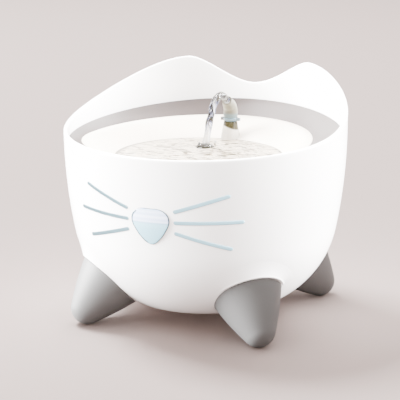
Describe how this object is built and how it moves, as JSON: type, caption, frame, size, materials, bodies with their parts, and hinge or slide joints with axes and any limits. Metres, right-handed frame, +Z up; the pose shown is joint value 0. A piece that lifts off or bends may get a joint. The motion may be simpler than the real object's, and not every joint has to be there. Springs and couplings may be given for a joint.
{
  "type": "pet water fountain",
  "caption": "Round white pet water fountain with a raised two-peak rear rim, four cone feet, a lift-out drinking tray, a swivelling spout, and a pump and filter inside.",
  "frame": {"origin": "on the floor, under the bowl's axis", "axes": "+Z up, the nose window faces -Y, +X to the right seen from the front"},
  "size_m": [0.24, 0.24, 0.205],
  "materials": {
    "white_abs": "gloss moulded",
    "grey_tpe": "satin moulded",
    "clear_blue": "clear tinted",
    "seal_rubber": "moulded rubber",
    "pump_abs": "moulded",
    "potting_epoxy": "cast resin",
    "core_steel": "laminated",
    "bobbin_nylon": "moulded",
    "winding_copper": "enamelled wire",
    "dial_grey": "moulded",
    "shaft_ceramic": "polished ceramic",
    "magnet_ferrite": "sintered",
    "impeller_white": "moulded",
    "clear_tube": "clear extruded",
    "grey_abs": "satin moulded",
    "cream_pp": "satin moulded",
    "clear_stem": "clear moulded",
    "clear_collar": "clear moulded",
    "frosted_silicone": "frosted silicone",
    "filter_white": "moulded",
    "foam_grey": "open-cell foam",
    "carbon_black": "granules in fleece",
    "mesh_steel": "woven wire"
  },
  "bodies": {
    "root": {"shell": "white_abs", "foot_front_left": "grey_tpe", "foot_front_right": "grey_tpe", "foot_rear_left": "grey_tpe", "foot_rear_right": "grey_tpe", "nose_window": "clear_blue", "nose_gasket": "seal_rubber", "whisker_windows": "clear_blue", "cable_grommet": "seal_rubber", "suction_cups": "seal_rubber", "motor_housing": "pump_abs", "motor_potting": "potting_epoxy", "stator_core": "core_steel", "coil_bobbin": "bobbin_nylon", "coil_winding": "winding_copper", "cable_gland": "seal_rubber", "impeller_chamber": "pump_abs", "chamber_seal": "seal_rubber", "intake_cover": "pump_abs", "rotor_shaft": "shaft_ceramic", "shaft_bushes": "seal_rubber", "riser_tube": "clear_tube", "riser_seal": "seal_rubber"},
    "flow_dial": {"flow_dial": "dial_grey"},
    "rotor": {"rotor_magnet": "magnet_ferrite", "impeller": "impeller_white"},
    "tray": {"tray_ring": "grey_abs", "tray_dish": "cream_pp", "stem": "clear_stem", "filter_well": "white_abs"},
    "spout": {"spout_collar": "clear_collar", "spout_bell": "frosted_silicone"},
    "filter": {"filter_frame": "filter_white", "filter_lid": "filter_white", "filter_foam": "foam_grey", "filter_carbon": "carbon_black", "filter_mesh": "mesh_steel"}
  },
  "joints": [
    {"name": "tray_lift", "type": "slide", "parent": "root", "child": "tray", "axis": [0, 0, 1], "range_m": [0, 0.06]},
    {"name": "spout_swivel", "type": "hinge", "parent": "tray", "child": "spout", "pos_m": [0, 0.06001, 0.16], "axis": [0, 0, 1], "range_deg": [-45, 45]},
    {"name": "filter_drop", "type": "slide", "parent": "tray", "child": "filter", "axis": [0, 0, -1], "range_m": [0, 0.05]},
    {"name": "rotor_spin", "type": "hinge", "parent": "root", "child": "rotor", "pos_m": [0, 0.06, 0.05], "axis": [0, 1, 0], "continuous": true},
    {"name": "flow_turn", "type": "hinge", "parent": "root", "child": "flow_dial", "pos_m": [0, 0.068, 0.05], "axis": [0, 1, 0], "range_deg": [0, 22.5]}
  ]
}
